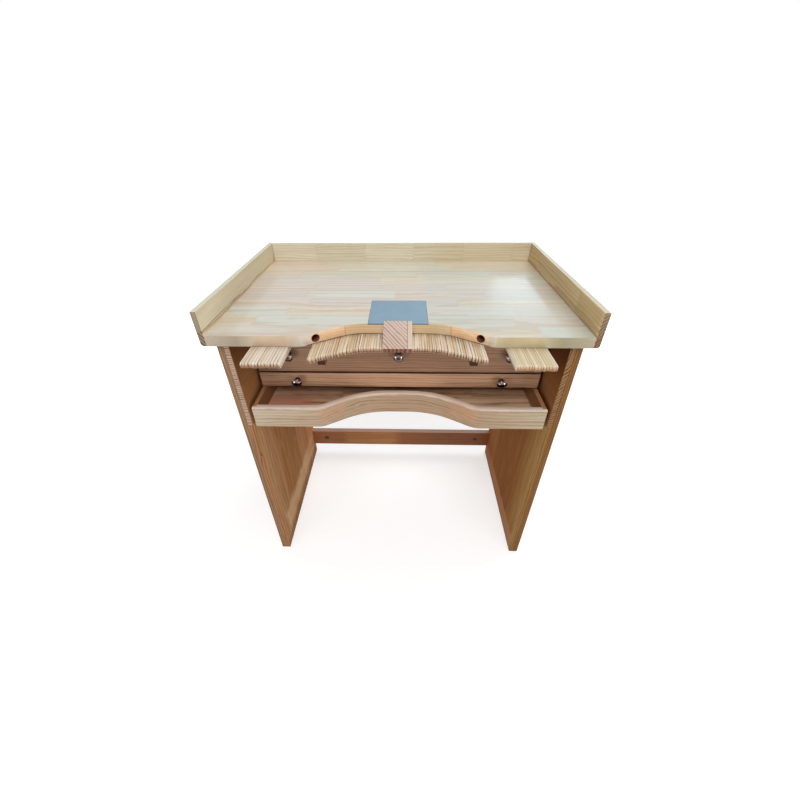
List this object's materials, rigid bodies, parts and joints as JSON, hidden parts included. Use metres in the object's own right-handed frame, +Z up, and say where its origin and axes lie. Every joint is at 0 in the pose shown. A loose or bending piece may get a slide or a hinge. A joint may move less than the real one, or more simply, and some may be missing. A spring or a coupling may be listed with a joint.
{
  "type": "jeweller's workbench",
  "caption": "Laminated pine workbench with an arched, upstand-edged top, inlaid steel plate, bench pin, sliding hand rest and armrests, drawers, and a sweep tray with a curved front.",
  "frame": {"origin": "on the floor, under the middle of the whole bench with its armrests and hand rest drawn out as in the picture", "axes": "+Z up from the floor to the work surface, +Y from the worker's side to the back, +X to the worker's right when facing the bench"},
  "size_m": [1, 0.693, 1.066],
  "materials": {
    "top_pine": "satin, edge-glued pine staves with finger joints",
    "edge_pine": "satin pine, warm",
    "leg_pine": "satin laminated pine, upright staves",
    "drawer_pine": "satin pine, long grain from side to side",
    "tray_pine": "satin pine",
    "rest_pine": "satin light pine, grain front to back",
    "pin_pine": "bare light wood with strong growth rings",
    "hardwood": "waxed hardwood",
    "plate_steel": "ground, blue-grey",
    "bright_metal": "polished",
    "zinc_steel": "zinc plated"
  },
  "bodies": {
    "bench": {"bench_top": "top_pine", "steel_plate": "plate_steel", "left_edge_board": "edge_pine", "right_edge_board": "edge_pine", "left_upstand": "edge_pine", "right_upstand": "edge_pine", "back_upstand": "edge_pine", "left_leg": "leg_pine", "right_leg": "leg_pine", "left_leg_liner": "leg_pine", "right_leg_liner": "leg_pine", "left_carcass_side": "leg_pine", "right_carcass_side": "leg_pine", "carcass_back": "leg_pine", "left_top_cleat": "hardwood", "right_top_cleat": "hardwood", "rear_stretcher": "leg_pine", "stretcher_bolts": "zinc_steel", "barrel_nuts": "zinc_steel", "left_arm_outer_guide": "hardwood", "left_arm_inner_guide": "hardwood", "right_arm_outer_guide": "hardwood", "right_arm_inner_guide": "hardwood", "left_bar_guide": "hardwood", "right_bar_guide": "hardwood", "left_bar_keeper": "hardwood", "right_bar_keeper": "hardwood", "upper_left_runner": "hardwood", "upper_right_runner": "hardwood", "tool_left_runner": "hardwood", "tool_right_runner": "hardwood", "tray_left_runner": "hardwood", "tray_right_runner": "hardwood"},
    "upper_drawer": {"upper_drawer_front": "drawer_pine", "upper_drawer_left_side": "drawer_pine", "upper_drawer_right_side": "drawer_pine", "upper_drawer_back": "drawer_pine", "upper_drawer_bottom": "drawer_pine", "upper_drawer_knobs": "bright_metal", "upper_knob_screws": "zinc_steel"},
    "tool_drawer": {"tool_drawer_front": "drawer_pine", "tool_drawer_left_side": "drawer_pine", "tool_drawer_right_side": "drawer_pine", "tool_drawer_back": "drawer_pine", "tool_drawer_bottom": "drawer_pine", "tool_drawer_knobs": "bright_metal", "tool_knob_screws": "zinc_steel"},
    "sweep_tray": {"tray_front": "tray_pine", "tray_left_side": "tray_pine", "tray_right_side": "tray_pine", "tray_back": "tray_pine", "tray_bottom": "tray_pine"},
    "left_armrest": {"left_armrest": "rest_pine"},
    "right_armrest": {"right_armrest": "rest_pine"},
    "hand_rest": {"hand_rest_slab": "rest_pine", "left_hand_rest_bar": "hardwood", "right_hand_rest_bar": "hardwood"},
    "bench_pin": {"bench_pin": "pin_pine"}
  },
  "joints": [
    {"name": "upper_drawer_slide", "type": "slide", "parent": "bench", "child": "upper_drawer", "axis": [0, -1, 0], "range_m": [0, 0.28]},
    {"name": "tool_drawer_slide", "type": "slide", "parent": "bench", "child": "tool_drawer", "axis": [0, -1, 0], "range_m": [0, 0.28]},
    {"name": "sweep_tray_slide", "type": "slide", "parent": "bench", "child": "sweep_tray", "axis": [0, -1, 0], "range_m": [0, 0.33]},
    {"name": "left_armrest_slide", "type": "slide", "parent": "bench", "child": "left_armrest", "axis": [0, -1, 0], "range_m": [-0.075, 0.18]},
    {"name": "right_armrest_slide", "type": "slide", "parent": "bench", "child": "right_armrest", "axis": [0, -1, 0], "range_m": [-0.08, 0.175]},
    {"name": "hand_rest_slide", "type": "slide", "parent": "bench", "child": "hand_rest", "axis": [0, -1, 0], "range_m": [-0.07, 0.1]},
    {"name": "bench_pin_slide", "type": "slide", "parent": "bench", "child": "bench_pin", "axis": [0, -1, 0], "range_m": [0, 0.05]}
  ]
}
